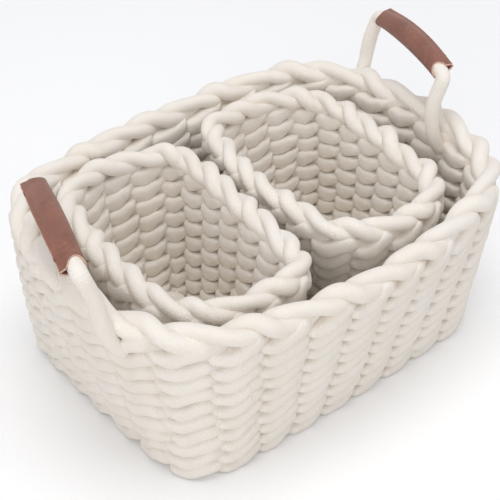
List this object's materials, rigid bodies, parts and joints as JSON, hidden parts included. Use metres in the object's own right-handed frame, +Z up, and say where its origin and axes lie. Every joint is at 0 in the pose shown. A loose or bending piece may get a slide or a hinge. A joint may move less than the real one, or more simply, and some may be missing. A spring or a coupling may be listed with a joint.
{
  "type": "nested storage basket set",
  "caption": "Large rounded rectangular rope basket with leather-gripped carry handles, holding small open baskets side by side.",
  "frame": {"origin": "centre of the large basket's underside, on the surface that it stands on", "axes": "+Z up out of the baskets' mouths, X along the large basket's long side, with the handles on its two X ends, Y across it"},
  "size_m": [0.3934, 0.2888, 0.1948],
  "materials": {
    "cotton_rope": "soft knitted cotton rope, matt",
    "stake_cord": "matt cotton cord",
    "brown_leather": "smooth leather with a low sheen",
    "waxed_thread": "waxed thread"
  },
  "bodies": {
    "large_basket": {"large_base_mat": "cotton_rope", "large_stakes": "stake_cord", "large_course_01": "cotton_rope", "large_course_02": "cotton_rope", "large_course_03": "cotton_rope", "large_course_04": "cotton_rope", "large_course_05": "cotton_rope", "large_course_06": "cotton_rope", "large_course_07": "cotton_rope", "large_course_08": "cotton_rope", "large_course_09": "cotton_rope", "large_rim_braid": "cotton_rope", "left_handle_tails": "cotton_rope", "right_handle_tails": "cotton_rope"},
    "left_small_basket": {"left_small_base_mat": "cotton_rope", "left_small_stakes": "stake_cord", "left_small_course_01": "cotton_rope", "left_small_course_02": "cotton_rope", "left_small_course_03": "cotton_rope", "left_small_course_04": "cotton_rope", "left_small_course_05": "cotton_rope", "left_small_course_06": "cotton_rope", "left_small_course_07": "cotton_rope", "left_small_course_08": "cotton_rope", "left_small_rim_braid": "cotton_rope"},
    "right_small_basket": {"right_small_base_mat": "cotton_rope", "right_small_stakes": "stake_cord", "right_small_course_01": "cotton_rope", "right_small_course_02": "cotton_rope", "right_small_course_03": "cotton_rope", "right_small_course_04": "cotton_rope", "right_small_course_05": "cotton_rope", "right_small_course_06": "cotton_rope", "right_small_course_07": "cotton_rope", "right_small_course_08": "cotton_rope", "right_small_rim_braid": "cotton_rope"},
    "left_handle": {"left_handle_rope": "cotton_rope", "left_handle_leather_grip": "brown_leather", "left_handle_grip_tacks": "waxed_thread"},
    "right_handle": {"right_handle_rope": "cotton_rope", "right_handle_leather_grip": "brown_leather", "right_handle_grip_tacks": "waxed_thread"}
  },
  "joints": [
    {"name": "left_small_lift", "type": "slide", "parent": "large_basket", "child": "left_small_basket", "axis": [0, 0, 1], "range_m": [0, 0.24]},
    {"name": "right_small_lift", "type": "slide", "parent": "large_basket", "child": "right_small_basket", "axis": [0, 0, 1], "range_m": [0, 0.24]},
    {"name": "left_handle_fold", "type": "hinge", "parent": "large_basket", "child": "left_handle", "pos_m": [-0.16353, -0.015, 0.163], "axis": [-0.3087, -0.9512, 0], "range_deg": [-90, 55]},
    {"name": "right_handle_fold", "type": "hinge", "parent": "large_basket", "child": "right_handle", "pos_m": [0.16353, 0.015, 0.163], "axis": [0.3087, 0.9512, 0], "range_deg": [-90, 55]}
  ]
}
